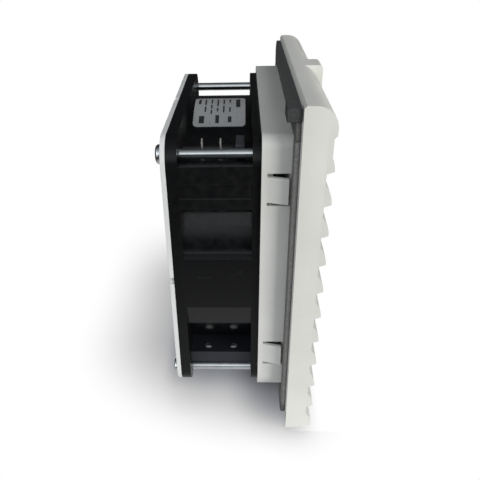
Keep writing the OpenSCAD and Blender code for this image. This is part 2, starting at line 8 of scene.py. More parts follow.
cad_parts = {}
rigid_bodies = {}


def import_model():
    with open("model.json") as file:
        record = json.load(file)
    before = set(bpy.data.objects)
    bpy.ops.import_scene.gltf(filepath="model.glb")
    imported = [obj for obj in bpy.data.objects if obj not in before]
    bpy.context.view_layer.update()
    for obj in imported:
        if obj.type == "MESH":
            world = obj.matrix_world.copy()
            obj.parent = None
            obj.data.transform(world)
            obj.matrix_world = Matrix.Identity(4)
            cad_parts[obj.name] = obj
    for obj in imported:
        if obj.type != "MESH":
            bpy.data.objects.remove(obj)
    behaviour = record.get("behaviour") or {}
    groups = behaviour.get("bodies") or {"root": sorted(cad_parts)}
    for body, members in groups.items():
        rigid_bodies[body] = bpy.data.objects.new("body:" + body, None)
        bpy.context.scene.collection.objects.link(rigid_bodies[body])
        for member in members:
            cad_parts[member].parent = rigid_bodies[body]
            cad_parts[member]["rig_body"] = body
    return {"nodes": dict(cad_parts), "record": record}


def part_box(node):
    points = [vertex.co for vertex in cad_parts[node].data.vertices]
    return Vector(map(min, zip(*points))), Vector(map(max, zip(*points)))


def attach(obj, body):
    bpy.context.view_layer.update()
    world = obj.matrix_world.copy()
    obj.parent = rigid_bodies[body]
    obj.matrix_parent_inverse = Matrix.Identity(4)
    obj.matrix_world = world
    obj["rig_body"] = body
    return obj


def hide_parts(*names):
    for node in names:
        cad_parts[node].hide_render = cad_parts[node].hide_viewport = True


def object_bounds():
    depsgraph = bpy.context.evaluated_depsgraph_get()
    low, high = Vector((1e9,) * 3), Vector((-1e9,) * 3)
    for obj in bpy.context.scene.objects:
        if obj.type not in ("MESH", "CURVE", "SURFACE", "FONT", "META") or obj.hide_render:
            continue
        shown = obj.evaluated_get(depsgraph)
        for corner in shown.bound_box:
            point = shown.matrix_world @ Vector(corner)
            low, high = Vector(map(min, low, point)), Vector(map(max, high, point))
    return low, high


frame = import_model()
cad_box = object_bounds()

# Blender's lengths are in metres; a length in mm is multiplied by MM
MM = 0.001
FLOOR_Z = cad_box[0][2]
WHITE = (1.0, 1.0, 1.0)

# Camera, fitted to the photograph: place in metres, angles in radians, focal length and centre
# in pixels, sensor in mm
CAMERA_PLACE = (-0.2519, 0.01758, 0.12332)
CAMERA_YAW = 0.04891
CAMERA_PITCH = 0.57702
CAMERA_ROLL = -0.02596
FOCAL_PX = 547.57
CENTRE_PX = (220.69, 285.30)
IMAGE_PX = 480
SENSOR = 36.0
CLIP_START = 0.01


def link(name, data):
    """A new object of the scene with that data."""
    obj = bpy.data.objects.new(name, data)
    bpy.context.scene.collection.objects.link(obj)
    return obj


def mesh_from(bm, name):
    """The bmesh as a mesh; the bmesh is freed."""
    mesh = bpy.data.meshes.new(name)
    bm.to_mesh(mesh)
    bm.free()
    return mesh


# Materials

# Nearly all of a noise lies between these values
NOISE_LOW = 0.3
NOISE_HIGH = 0.7


def set_input(node, name, value):
    node.inputs[name].default_value = value


def set_stops(ramp, *stops):
    """The two stops of a colour ramp, as pairs of position and colour."""
    for element, (position, colour) in zip(list(ramp.color_ramp.elements), stops):
        element.position = position
        element.color = (*colour, 1.0)


class Surface:
    """A procedural material: a principled shader with noise in its colour, gloss and relief."""

    def __init__(self, name, rough, metallic=0.0):
        self.material = bpy.data.materials.new(name)
        self.material.use_nodes = True
        self.tree = self.material.node_tree
        self.shader = self.tree.nodes["Principled BSDF"]
        self.place = self.tree.nodes.new("ShaderNodeTexCoord").outputs["Object"]
        set_input(self.shader, "Roughness", rough)
        set_input(self.shader, "Metallic", metallic)
        self.relief = None

    def noise(self, cells, detail=3.0, stretch=None):
        """Noise of that many cells a metre, stretched along an axis if asked."""
        node = self.tree.nodes.new("ShaderNodeTexNoise")
        set_input(node, "Scale", cells)
        set_input(node, "Detail", detail)
        place = self.place
        if stretch:
            mapping = self.tree.nodes.new("ShaderNodeMapping")
            set_input(mapping, "Scale", stretch)
            self.tree.links.new(place, mapping.inputs["Vector"])
            place = mapping.outputs["Vector"]
        self.tree.links.new(place, node.inputs["Vector"])
        return node.outputs["Fac"]

    def colour(self, dark, light, fac):
        ramp = self.tree.nodes.new("ShaderNodeValToRGB")
        set_stops(ramp, (NOISE_LOW, dark), (NOISE_HIGH, light))
        self.tree.links.new(fac, ramp.inputs["Fac"])
        self.tree.links.new(ramp.outputs["Color"], self.shader.inputs["Base Color"])

    def gloss(self, low, high, fac):
        """Roughness that varies from low to high."""
        spread = self.tree.nodes.new("ShaderNodeMapRange")
        set_input(spread, "From Min", NOISE_LOW)
        set_input(spread, "From Max", NOISE_HIGH)
        set_input(spread, "To Min", low)
        set_input(spread, "To Max", high)
        self.tree.links.new(fac, spread.inputs["Value"])
        self.tree.links.new(spread.outputs["Result"], self.shader.inputs["Roughness"])

    def bump(self, fac, height, strength=1.0):
        """Relief of that height, on top of the relief so far."""
        node = self.tree.nodes.new("ShaderNodeBump")
        set_input(node, "Strength", strength)
        set_input(node, "Distance", height)
        self.tree.links.new(fac, node.inputs["Height"])
        if self.relief is not None:
            self.tree.links.new(self.relief, node.inputs["Normal"])
        self.relief = node.outputs["Normal"]
        self.tree.links.new(self.relief, self.shader.inputs["Normal"])

    def shine(self, **sockets):
        for name, value in sockets.items():
            set_input(self.shader, name.replace("_", " "), value)


def tone(base, share):
    return tuple(v * share for v in base)


def moulded(name, base, rough, grain=0.012 * MM, spread=0.04):
    """Moulded plastic: faint flow marks, a fine spark-eroded grain and uneven gloss."""
    s = Surface(name, rough)
    s.colour(tone(base, 1 - spread), tone(base, 1 + spread), s.noise(cells=45, detail=4))
    s.gloss(low=rough - 0.06, high=rough + 0.08, fac=s.noise(cells=320))
    s.bump(s.noise(cells=3800, detail=2), height=grain)
    s.bump(s.noise(cells=90, detail=2), height=0.03 * MM)
    return s


def metal(name, base, rough, stretch=None, scratch=0.004 * MM, spread=0.08):
    """Bare or plated metal with fine scratches, which run along one way if stretched."""
    s = Surface(name, rough, metallic=1.0)
    s.colour(tone(base, 1 - spread), tone(base, 1 + spread), s.noise(cells=160, detail=4))
    s.gloss(low=max(rough - 0.08, 0.05), high=rough + 0.12, fac=s.noise(cells=700, stretch=stretch))
    s.bump(s.noise(cells=2600, stretch=stretch), height=scratch)
    return s


def foam_surface(name, base):
    """Closed-cell foam: round cells, deep enough to break the light."""
    s = Surface(name, rough=0.92)
    s.colour(tone(base, 0.72), tone(base, 1.25), s.noise(cells=1500, detail=5))
    voronoi = s.tree.nodes.new("ShaderNodeTexVoronoi")
    set_input(voronoi, "Scale", 1400.0)
    s.tree.links.new(s.place, voronoi.inputs["Vector"])
    s.bump(voronoi.outputs["Distance"], height=0.18 * MM, strength=0.8)
    s.bump(s.noise(cells=260), height=0.12 * MM)
    return s


def fleece_surface(name):
    """Non-woven fleece: crossing fibres in two directions over soft clumps."""
    s = Surface(name, rough=0.95)
    s.colour((0.62, 0.62, 0.6), (0.86, 0.86, 0.84), s.noise(cells=700, detail=6))
    for fibres in ((1.0, 1.0, 0.12), (0.12, 1.0, 1.0)):
        s.bump(s.noise(cells=900, detail=5, stretch=fibres), height=0.25 * MM)
    s.bump(s.noise(cells=120), height=0.6 * MM)
    s.shine(Sheen_Weight=0.3, Sheen_Roughness=0.5)
    return s


# The fan's one black casting has four looks: the duct and the flanges differ in gloss, and the shelves
# are a lighter copy, as painted light. The one foam has
# three shades: its own, a darker copy as painted shade on the top gasket's corner block, and a lighter
# copy as painted light on the side strips
FAN_BLACK = (0.0036, 0.0039, 0.0046)
FAN_SPREAD = 0.12
FAN_GRAIN = 0.008 * MM
PRINT_GRAIN = 0.004 * MM
DARK_INK = (0.02, 0.02, 0.022)
PALE_STEEL = (0.62, 0.63, 0.65)

LOOKS = {
    "cover_plastic": moulded("cover_plastic", (0.80, 0.80, 0.765), rough=0.5),
    "housing_plastic": moulded("housing_plastic", (0.74, 0.745, 0.73), rough=0.46),
    "guard_plastic": moulded("guard_plastic", (0.84, 0.85, 0.86), rough=0.42),
    "fleece": fleece_surface("fleece"),
    "foam": foam_surface("foam", (0.11, 0.11, 0.108)),
    # A darker copy of the foam for the top gasket's corner block: painted shade
    "foam_block_painted_shade": foam_surface("foam_block_painted_shade", (0.052, 0.053, 0.056)),
    # A lighter copy of the foam for the side gasket strips: painted light
    "foam_side_painted_light": foam_surface("foam_side_painted_light", (0.19, 0.19, 0.186)),
    "fan_plastic": moulded("fan_plastic", FAN_BLACK, 0.3, FAN_GRAIN, FAN_SPREAD),
    "duct_plastic": moulded("duct_plastic", FAN_BLACK, 0.2, 0.006 * MM, FAN_SPREAD),
    "flange_plastic": moulded("flange_plastic", FAN_BLACK, 0.34, FAN_GRAIN, FAN_SPREAD),
    # A lighter copy of the black casting for the shelves: painted light in their pocket
    "shelf_plastic_painted_light": moulded("shelf_plastic_painted_light", (0.02, 0.023, 0.032), 0.4, FAN_GRAIN, FAN_SPREAD),
    "zinc_steel": metal("zinc_steel", (0.74, 0.78, 0.80), 0.22, stretch=(1.0, 0.02, 1.0),
                        scratch=0.0015 * MM),
    "print": moulded("print", DARK_INK, 0.55, PRINT_GRAIN),
    "terminal_plastic": moulded("terminal_plastic", (0.045, 0.048, 0.058), rough=0.42),
    "tinned_brass": metal("tinned_brass", (0.92, 0.91, 0.86), rough=0.5),
    "label_foil": moulded("label_foil", (0.4, 0.41, 0.42), 0.3, PRINT_GRAIN),
    "wire_sleeve": moulded("wire_sleeve", DARK_INK, rough=0.5),
    "cup_steel": metal("cup_steel", (0.4, 0.41, 0.43), rough=0.35),
    "cast_aluminium": metal("cast_aluminium", PALE_STEEL, rough=0.5),
    "ground_steel": metal("ground_steel", PALE_STEEL, rough=0.2),
    "laminated_steel": metal("laminated_steel", (0.3, 0.31, 0.33), 0.4, stretch=(0.05, 4.0, 0.05)),
    "enamelled_wire": moulded("enamelled_wire", (0.45, 0.17, 0.05), 0.3, grain=0.06 * MM, spread=0.2),
    "insulator_plastic": moulded("insulator_plastic", (0.6, 0.55, 0.38), rough=0.5),
    "bearing_steel": metal("bearing_steel", (0.7, 0.71, 0.73), rough=0.12),
    "spring_steel": metal("spring_steel", (0.3, 0.31, 0.34), rough=0.3),
}
LOOKS["duct_plastic"].shine(Specular_IOR_Level=0.36)
LOOKS["flange_plastic"].shine(Specular_IOR_Level=0.3)
SLOT_OF = {s["node"]: s["material_slot"] for s in frame["record"]["subparts"]}


def paint(obj, look):
    """Give an object one look in place of what it has."""
    obj.data.materials.clear()
    obj.data.materials.append(LOOKS[look].material)


# CAD nodes with softened edges

# Angles in degrees: edges from SHARP_ANGLE on are rounded and shaded as edges, faces within
# FLAT_ANGLE are joined
SHARP_ANGLE = 32
FLAT_ANGLE = 0.6
# Lengths in mm: corners this close are one, and points this close lie in one plane
WELD = 0.002
SAME_PLANE = 0.02
# Chamfer along the cover's upper rear edge, in mm
REAR_CHAMFER = 0.9
# Planes in Y where the fan's pieces meet, in mm. Edges in them stay sharp, so that no groove
# shows between pieces
GAP_FRONT = 14.1
GAP_BACK = 42.1
SEAMS = (GAP_FRONT, GAP_BACK)

# Width of the softened edges in mm
EDGE_WIDTHS = {
    "front_cover": 0.55, "base_housing": 0.45, "fan_front_flange": 0.3, "fan_duct": 0.25,
    "fan_terminal_box": 0.25, "fan_shelves": 0.25, "fan_rear_flange": 0.3, "motor_base": 0.3,
    "finger_guard": 0.25, "terminal_block": 0.2, "gasket_top": 0.4, "gasket_bottom": 0.4,
    "gasket_left": 0.4, "gasket_right": 0.4, "impeller": 0.2, "hex_nuts": 0.2,
    "blade_terminals": 0.08, "rotor_cup": 0.3,
}
EDGE_SEGMENTS = 2
COVER_EDGE_SEGMENTS = 3
# Nodes whose look isn't that of their material slot
OWN_LOOKS = {
    "fan_duct": "duct_plastic", "fan_front_flange": "flange_plastic",
    # The shelves take a lighter copy of the black casting: painted light
    "fan_rear_flange": "flange_plastic", "fan_shelves": "shelf_plastic_painted_light",
    # The side gasket strips take a lighter copy of the foam: painted light
    "gasket_left": "foam_side_painted_light", "gasket_right": "foam_side_painted_light",
}
# The top gasket's thick corner block, painted darker as painted shade, stands behind this plane in Y,
# in mm
BLOCK_FROM = 0.05


def smooth(mesh, angle=SHARP_ANGLE):
    """Shade smoothly, but for edges sharper than the angle in degrees."""
    mesh.shade_smooth()
    mesh.set_sharp_from_angle(angle=math.radians(angle))


def soften(obj, bm, width, segments, seams):
    """Round every sharp edge, as a mould leaves it, but not one in a seam's plane."""
    layer = bm.edges.layers.float.new("bevel_weight_edge")
    for edge in bm.edges:
        if len(edge.link_faces) != 2 or edge.calc_face_angle() < math.radians(SHARP_ANGLE):
            continue
        on_seam = any(all(abs(v.co.y - y * MM) < SAME_PLANE * MM for v in edge.verts) for y in seams)
        edge[layer] = 0.0 if on_seam else 1.0
    mod = obj.modifiers.new("soft_edges", "BEVEL")
    mod.width = width
    mod.segments = segments
    mod.limit_method = "WEIGHT"
    mod.use_clamp_overlap = True


def chamfer_rear(bm):
    """Chamfer the cover's upper rear edge."""
    top = max(v.co.z for v in bm.verts) - SAME_PLANE * MM
    back = max(v.co.y for v in bm.verts if v.co.z > top)
    edges = [edge for edge in bm.edges
             if all(v.co.z > top and abs(v.co.y - back) < SAME_PLANE * MM for v in edge.verts)]
    bmesh.ops.bevel(bm, geom=edges, offset=REAR_CHAMFER * MM, segments=1, affect="EDGES")


def dress(node):
    """A copy of a CAD node's mesh with joined faces and softened edges, in place of the node."""
    source = frame["nodes"][node]
    mesh = source.data.copy()
    obj = link(node + "_dressed", mesh)
    bm = bmesh.new()
    bm.from_mesh(mesh)
    bmesh.ops.remove_doubles(bm, verts=bm.verts, dist=WELD * MM)
    bmesh.ops.dissolve_limit(bm, angle_limit=math.radians(FLAT_ANGLE), verts=bm.verts, edges=bm.edges)
    segments = EDGE_SEGMENTS
    if node == "front_cover":
        chamfer_rear(bm)
        segments = COVER_EDGE_SEGMENTS
    soften(obj, bm, EDGE_WIDTHS[node] * MM, segments, SEAMS if node.startswith("fan_") else ())
    bm.to_mesh(mesh)
    bm.free()
    smooth(mesh)
    paint(obj, OWN_LOOKS.get(node, SLOT_OF[node]))
    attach(obj, source["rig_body"])
    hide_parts(node)
    return obj


def paint_block_shade(obj):
    """Paint the thick corner block of the top gasket with a darker copy of the foam: painted shade."""
    obj.data.materials.append(LOOKS["foam_block_painted_shade"].material)
    for face in obj.data.polygons:
        if face.center.y > BLOCK_FROM * MM:
            face.material_index = 1


dressed = {node: dress(node) for node in EDGE_WIDTHS}
paint_block_shade(dressed["gasket_top"])
for name, obj in frame["nodes"].items():
    paint(obj, SLOT_OF[name])


# Pieces made in code, with sizes in mm

# Sizes shared with the CAD
DUCT_R = 59.0
HOLE_HALF = 52.4
SCREW_R = 1.95
HEAD_R = 3.7
HEAD_H = 2.2
PAD_X = -59.5


def new_piece(name, bm, look):
    """A piece made in code, painted and riding on the base."""
    obj = link(name, mesh_from(bm, name))
    paint(obj, look)
    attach(obj, "base")
    return obj


def corners(node):
    """A node's lowest and highest corner."""
    low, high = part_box(node)
    return [v / MM for v in low], [v / MM for v in high]


def bridge(bm, a, b):
    """Faces between two rings with equally many points."""
    for i in range(len(a)):
        j = (i + 1) % len(a)
        bm.faces.new((a[i], a[j], b[j], b[i]))


def curved_patch(bm, r_in, r_out, a0, a1, edges_at, steps):
    """A sheet on the duct between two angles from straight up, with edges_at(share) as its Y limits."""
    rows = []
    for k in range(steps + 1):
        share = 0.5 - 0.5 * math.cos(math.pi * k / steps)
        angle = math.radians(a0 + (a1 - a0) * share)
        low, high = edges_at(share)
        rows.append([bm.verts.new((-r * math.sin(angle) * MM, y * MM, r * math.cos(angle) * MM))
                     for r, y in ((r_in, low), (r_out, low), (r_out, high), (r_in, high))])
    for a, b in zip(rows, rows[1:]):
        bridge(bm, a, b)
    bm.faces.new(rows[0][::-1])
    bm.faces.new(rows[-1])


LABEL_T = 0.25
LABEL_CORNER = 1.7
LABEL_ANGLES = (-0.6, 24.0)
LABEL_STEPS = 96
BAR_T = 0.02
BAR_STEPS = 24
# Plain bars on the label: place across it, width across, start and end along it, all as shares
LABEL_BARS = (
    (0.10, 0.050, 0.08, 0.30), (0.22, 0.030, 0.08, 0.34), (0.22, 0.030, 0.40, 0.60),
    (0.34, 0.030, 0.08, 0.28), (0.34, 0.030, 0.33, 0.48), (0.34, 0.030, 0.53, 0.66),
    (0.46, 0.030, 0.08, 0.40), (0.46, 0.030, 0.46, 0.58), (0.58, 0.030, 0.08, 0.32),
    (0.58, 0.030, 0.38, 0.62), (0.70, 0.030, 0.08, 0.26), (0.70, 0.030, 0.44, 0.60),
    (0.86, 0.085, 0.08, 0.44), (0.70, 0.070, 0.74, 0.90), (0.46, 0.070, 0.70, 0.92),
    (0.16, 0.100, 0.72, 0.92),
)


def label_edges(share, low, high, length):
    """Y limits of the label with its round corners, at a share of its length."""
    along = min(share, 1 - share) * length
    if along >= LABEL_CORNER:
        return low, high
    pull = LABEL_CORNER - math.sqrt(
        max(LABEL_CORNER * LABEL_CORNER - (LABEL_CORNER - along) ** 2, 0.0))
    return low + pull, high - pull


def build_label():
    """The label's plate and its plain bars."""
    (_, low, _), (_, high, _) = corners("rating_label")
    first, last = LABEL_ANGLES
    length = math.radians(last - first) * DUCT_R
    outer = DUCT_R + LABEL_T
    bm = bmesh.new()
    curved_patch(bm, DUCT_R, outer, first, last,
                 lambda share: label_edges(share, low, high, length), LABEL_STEPS)
    bmesh.ops.recalc_face_normals(bm, faces=bm.faces)
    plate = new_piece("label_plate", bm, "label_foil")
    smooth(plate.data)
    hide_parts("rating_label")
    bm = bmesh.new()
    for across, width, start, end in LABEL_BARS:
        y = high + (low - high) * across
        half = (high - low) * width / 2
        limits = (y - half, y + half)
        curved_patch(bm, outer, outer + BAR_T, first + (last - first) * start,
                     first + (last - first) * end, lambda share, limits=limits: limits, BAR_STEPS)
    bmesh.ops.recalc_face_normals(bm, faces=bm.faces)
    smooth(new_piece("label_bars", bm, "print").data)


# Screws: points round a turn, chamfer of the tip, the head's rim and rounding
TURN_STEPS = 64
TIP_CHAMFER = 0.45
HEAD_RIM = 0.12
HEAD_ROUND = HEAD_H * 0.62
# Thread in view next to the rear flange, much shallower than a real one, which would glitter
THREAD_L = 8.4
THREAD_PITCH = 0.7
THREAD_DEPTH = 0.05
# Cross recess: half length and half width of its arms at the top, the shares of both at the
# bottom, depth, and how far the cutter stands over the head
CROSS_HALF_L = 2.35
CROSS_HALF_W = 0.55
CROSS_BOTTOM = (0.45, 0.78)
CROSS_DEPTH = 1.35
CROSS_OVER = 0.4
# How far the first screw is turned and each next one more, in degrees
SCREW_TURN = 17
SCREW_TURN_STEP = 31
SCREW_SHARP_ANGLE = 28


def lathe(bm, profile):
    """Solid of revolution about the Y axis; the profile is (y, r), and starts and ends on the axis."""
    rings = []
    for y, r in profile:
        if r <= 0:
            rings.append([bm.verts.new((0, y * MM, 0))])
        else:
            angles = [2 * math.pi * k / TURN_STEPS for k in range(TURN_STEPS)]
            rings.append([bm.verts.new((r * MM * math.cos(a), y * MM, r * MM * math.sin(a)))
                          for a in angles])
    for a, b in zip(rings, rings[1:]):
        for k in range(TURN_STEPS):
            n = (k + 1) % TURN_STEPS
            if len(a) == 1:
                bm.faces.new((a[0], b[k], b[n]))
            elif len(b) == 1:
                bm.faces.new((a[k], b[0], a[n]))
            else:
                bm.faces.new((a[k], b[k], b[n], a[n]))


def cross_cutter(bottom_y, top_y):
    """A tapered cross, as the driver's recess in a pan head."""
    bm = bmesh.new()
    arm = ((-CROSS_HALF_L, -CROSS_HALF_W), (CROSS_HALF_L, -CROSS_HALF_W),
           (CROSS_HALF_L, CROSS_HALF_W), (-CROSS_HALF_L, CROSS_HALF_W))
    for turn in (0.0, math.pi / 2):
        c, s = math.cos(turn), math.sin(turn)
        ends = []
        for y, (long_share, wide_share) in ((bottom_y, CROSS_BOTTOM), (top_y, (1.0, 1.0))):
            points = [(x * long_share, z * wide_share) for x, z in arm]
            ends.append([bm.verts.new(((x * c - z * s) * MM, y * MM, (x * s + z * c) * MM))
                         for x, z in points])
        bridge(bm, ends[0], ends[1])
        bm.faces.new(ends[0][::-1])
        bm.faces.new(ends[1])
    bmesh.ops.recalc_face_normals(bm, faces=bm.faces)
    return link("cross_cutter", mesh_from(bm, "cross_cutter"))


def cut_mesh(solid, cutter):
    """The solid's mesh with the cutter's shape taken out."""
    obj = link("cut_work", solid)
    mod = obj.modifiers.new("cut", "BOOLEAN")
    mod.operation = "DIFFERENCE"
    mod.solver = "EXACT"
    mod.use_self = True
    mod.object = cutter
    bpy.context.view_layer.update()
    seen = obj.evaluated_get(bpy.context.evaluated_depsgraph_get())
    result = bpy.data.meshes.new_from_object(seen)
    bpy.data.objects.remove(obj)
    bpy.data.objects.remove(cutter)
    return result


def screw_mesh(tip, top):
    """One screw along Y, from its tip to the top of its head."""
    seat = top - HEAD_H
    start = GAP_BACK - THREAD_L
    shank = [(tip, 0), (tip, SCREW_R - TIP_CHAMFER), (tip + TIP_CHAMFER, SCREW_R)]
    thread = [(start + (k + part) * THREAD_PITCH, SCREW_R - (THREAD_DEPTH if part else 0.0))
              for k in range(int(THREAD_L / THREAD_PITCH)) for part in (0.0, 0.5)]
    rim = [(seat, SCREW_R), (seat, HEAD_R - HEAD_RIM), (seat + HEAD_RIM, HEAD_R)]
    dome = [(top - HEAD_ROUND + HEAD_ROUND * math.sin(math.radians(a)),
             HEAD_R - HEAD_ROUND + HEAD_ROUND * math.cos(math.radians(a)))
            for a in range(0, 91, 10)]
    bm = bmesh.new()
    lathe(bm, shank + thread + rim + dome + [(top, 0)])
    bmesh.ops.recalc_face_normals(bm, faces=bm.faces)
    mesh = mesh_from(bm, "long_screw")
    return cut_mesh(mesh, cross_cutter(top - CROSS_DEPTH, top + CROSS_OVER))


def build_screws():
    """The four long screws, each turned differently."""
    (_, tip, _), (_, top, _) = corners("long_screws")
    one = screw_mesh(tip, top)
    bm = bmesh.new()
    for k, (sx, sz) in enumerate(((-1, -1), (-1, 1), (1, -1), (1, 1))):
        part = one.copy()
        place = Matrix.Translation((sx * HOLE_HALF * MM, 0, sz * HOLE_HALF * MM))
        turn = Matrix.Rotation(math.radians(SCREW_TURN + SCREW_TURN_STEP * k), 4, "Y")
        part.transform(place @ turn)
        bm.from_mesh(part)
    obj = new_piece("screw_set", bm, "zinc_steel")
    smooth(obj.data, SCREW_SHARP_ANGLE)
    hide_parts("long_screws")


# Fleece mat: cells along a side, how far it stays inside the CAD solid at its sides and faces,
# its corner radius and the rounding of its edges
MAT_CELLS = 130
MAT_SIDE_GAP = 0.1
MAT_FACE_GAP = 0.4
MAT_CORNER = 6.0
MAT_ROUND = 1.6
# Clumps of the fleece: height, width and seed
MAT_CLUMPS = ((0.16, 7.0, 3), (0.12, 2.2, 5), (0.07, 0.95, 9))


def value_noise(x, z, cell, seed):
    """Smooth noise from -1 to 1 on a square lattice."""
    def corner(i, k):
        # The usual constants of a sine hash
        n = math.sin(i * 127.1 + k * 311.7 + seed * 74.7) * 43758.5453
        return (n - math.floor(n)) * 2 - 1
    fx, fz = x / cell, z / cell
    i, k = math.floor(fx), math.floor(fz)
    u, w = fx - i, fz - k
    u, w = u * u * (3 - 2 * u), w * w * (3 - 2 * w)
    return ((corner(i, k) * (1 - u) + corner(i + 1, k) * u) * (1 - w)
            + (corner(i, k + 1) * (1 - u) + corner(i + 1, k + 1) * u) * w)


def mat_point(i, k, side, half, mid, thick):
    """A point on the mat's front or rear face, side -1 or 1, by its cell."""
    x, z = half * (2 * i / MAT_CELLS - 1), half * (2 * k / MAT_CELLS - 1)
    px, pz = max(abs(x) - half + MAT_CORNER, 0), max(abs(z) - half + MAT_CORNER, 0)
    if px > 0 and pz > 0:
        squeeze = max(px, pz) / math.hypot(px, pz)
        x -= math.copysign(px * (1 - squeeze), x)
        z -= math.copysign(pz * (1 - squeeze), z)
    edge = min(half - abs(x), half - abs(z))
    drop = MAT_ROUND * (1 - math.sqrt(max(1 - max(1 - edge / MAT_ROUND, 0) ** 2, 0)))
    loft = sum(height * value_noise(x, z, width, seed + side) for height, width, seed in MAT_CLUMPS)
    return x, mid + side * (thick - MAT_FACE_GAP + loft - drop), z


def build_mat():
    """The filter mat: a flat fleece slab with round edges and an uneven, clumped surface."""
    low, high = corners("filter_mat")
    half = (high[0] - low[0]) / 2 - MAT_SIDE_GAP
    mid = (low[1] + high[1]) / 2
    thick = (high[1] - low[1]) / 2
    there, back = range(MAT_CELLS), range(MAT_CELLS, 0, -1)
    bm = bmesh.new()
    rims = []
    for side in (-1, 1):
        rows = [[bm.verts.new([v * MM for v in mat_point(i, k, side, half, mid, thick)])
                 for k in range(MAT_CELLS + 1)] for i in range(MAT_CELLS + 1)]
        for i in there:
            for k in there:
                bm.faces.new((rows[i][k], rows[i + 1][k], rows[i + 1][k + 1], rows[i][k + 1]))
        rims.append([rows[i][0] for i in there] + [rows[-1][k] for k in there]
                    + [rows[i][-1] for i in back] + [rows[0][k] for k in back])
    bridge(bm, rims[0], rims[1])
    bmesh.ops.recalc_face_normals(bm, faces=bm.faces)
    mat = new_piece("fleece_mat", bm, "fleece")
    mat.data.shade_smooth()
    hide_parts("filter_mat")


# Arrows on the near pad: centre in Y and Z and the way they point in degrees, then their
# length, the head's length, half widths of shaft and head, and height over and depth in the pad
ARROWS = (((20.5, 3.6), 150), ((34.0, 2.0), 0))
ARROW_L = 7.0
ARROW_HEAD_L = 2.4
ARROW_HALF_W = 0.35
ARROW_HEAD_HALF_W = ARROW_HEAD_L * 0.55
ARROW_T = 0.12
ARROW_SINK = 0.05


def arrow(bm, centre, angle):
    """A flat raised arrow on the near pad."""
    tail, tip = -ARROW_L / 2, ARROW_L / 2
    neck = tip - ARROW_HEAD_L
    outline = [(tail, -ARROW_HALF_W), (neck, -ARROW_HALF_W), (neck, -ARROW_HEAD_HALF_W), (tip, 0),
               (neck, ARROW_HEAD_HALF_W), (neck, ARROW_HALF_W), (tail, ARROW_HALF_W)]
    c, s = math.cos(math.radians(angle)), math.sin(math.radians(angle))
    points = [(centre[0] + u * c - v * s, centre[1] + u * s + v * c) for u, v in outline]
    low, high = [[bm.verts.new((x * MM, y * MM, z * MM)) for y, z in points]
                 for x in (PAD_X + ARROW_SINK, PAD_X - ARROW_T)]
    bm.faces.new(low)
    bm.faces.new(high[::-1])
    bridge(bm, low, high)


def build_marks():
    """Faint moulded arrows for the way of flow and of turning."""
    bm = bmesh.new()
    for centre, angle in ARROWS:
        arrow(bm, centre, angle)
    bmesh.ops.recalc_face_normals(bm, faces=bm.faces)
    new_piece("moulded_arrows", bm, "fan_plastic")


build_label()
build_screws()
build_mat()
build_marks()


# Camera, floor and light


def camera_matrix():
    """Camera's place and turn, from the fitted yaw, pitch and roll."""
    level = Vector((math.cos(CAMERA_YAW), math.sin(CAMERA_YAW), 0.0))
    forward = level * math.cos(CAMERA_PITCH) - Vector((0.0, 0.0, math.sin(CAMERA_PITCH)))
    right = Vector((math.sin(CAMERA_YAW), -math.cos(CAMERA_YAW), 0.0))
    up = right.cross(forward)
    right, up = (right * math.cos(CAMERA_ROLL) + up * math.sin(CAMERA_ROLL),
                 up * math.cos(CAMERA_ROLL) - right * math.sin(CAMERA_ROLL))
    matrix = Matrix((right, up, -forward)).transposed().to_4x4()
    matrix.translation = Vector(CAMERA_PLACE)
    return matrix


def build_camera():
    """The camera, whose shift puts the fitted centre where it is in the photograph."""
    data = bpy.data.cameras.new("camera")
    data.sensor_width = SENSOR
    data.lens = SENSOR * FOCAL_PX / IMAGE_PX
    data.shift_x = (IMAGE_PX / 2 - CENTRE_PX[0]) / IMAGE_PX
    data.shift_y = (CENTRE_PX[1] - IMAGE_PX / 2) / IMAGE_PX
    data.clip_start = CLIP_START
    camera = link("camera", data)
    camera.matrix_world = camera_matrix()
    bpy.context.scene.camera = camera


# Lamps, which face the origin: name, place, side of the square in metres, watts and colour
LAMPS = (
    ("key", (-0.98, -0.81, 0.22), 0.6, 8.4, (1.0, 0.98, 0.92)),
    ("fill", (0.5, -0.6, 1.0), 0.7, 3.2, WHITE),
    ("rear", (-0.9, 0.9, 0.3), 0.7, 2.2, WHITE),
)


def build_lamps():
    """Three square lamps."""
    for name, place, side, power, colour in LAMPS:
        data = bpy.data.lights.new(name, "AREA")
        data.shape = "SQUARE"
        data.size = side
        data.energy = power
        data.color = colour
        lamp = link(name, data)
        lamp.rotation_euler = (-Vector(place)).to_track_quat("-Z", "Y").to_euler()
        lamp.location = place


class Sums:
    """Small sums on the sockets of a shader tree."""

    def __init__(self, tree):
        self.tree = tree

    def socket(self, value, target):
        if isinstance(value, (int, float)):
            target.default_value = value
        else:
            self.tree.links.new(value, target)

    def math(self, operation, a, b=0.0):
        node = self.tree.nodes.new("ShaderNodeMath")
        node.operation = operation
        self.socket(a, node.inputs[0])
        self.socket(b, node.inputs[1])
        return node.outputs[0]

    def ramp(self, value, start, end):
        """Smooth step between two pairs of place and value."""
        node = self.tree.nodes.new("ShaderNodeMapRange")
        node.interpolation_type = "SMOOTHSTEP"
        for name, number in (("From Min", start[0]), ("From Max", end[0]),
                             ("To Min", start[1]), ("To Max", end[1])):
            set_input(node, name, number)
        self.tree.links.new(value, node.inputs["Value"])
        return node.outputs["Result"]

    def place(self, output):
        """The place or direction, whole and apart."""
        node = self.tree.nodes.new("ShaderNodeTexCoord")
        parts = self.tree.nodes.new("ShaderNodeSeparateXYZ")
        self.tree.links.new(node.outputs[output], parts.inputs[0])
        return node.outputs[output], parts.outputs


# Floor, in metres, with a sunk field where the open cover comes to lie
FLOOR_HALF = 4.0
SUNK_ALONG_X = (-0.0725, 0.0725)
SUNK_ALONG_Y = (-0.162, -0.003)
SUNK_DEPTH = 0.0085

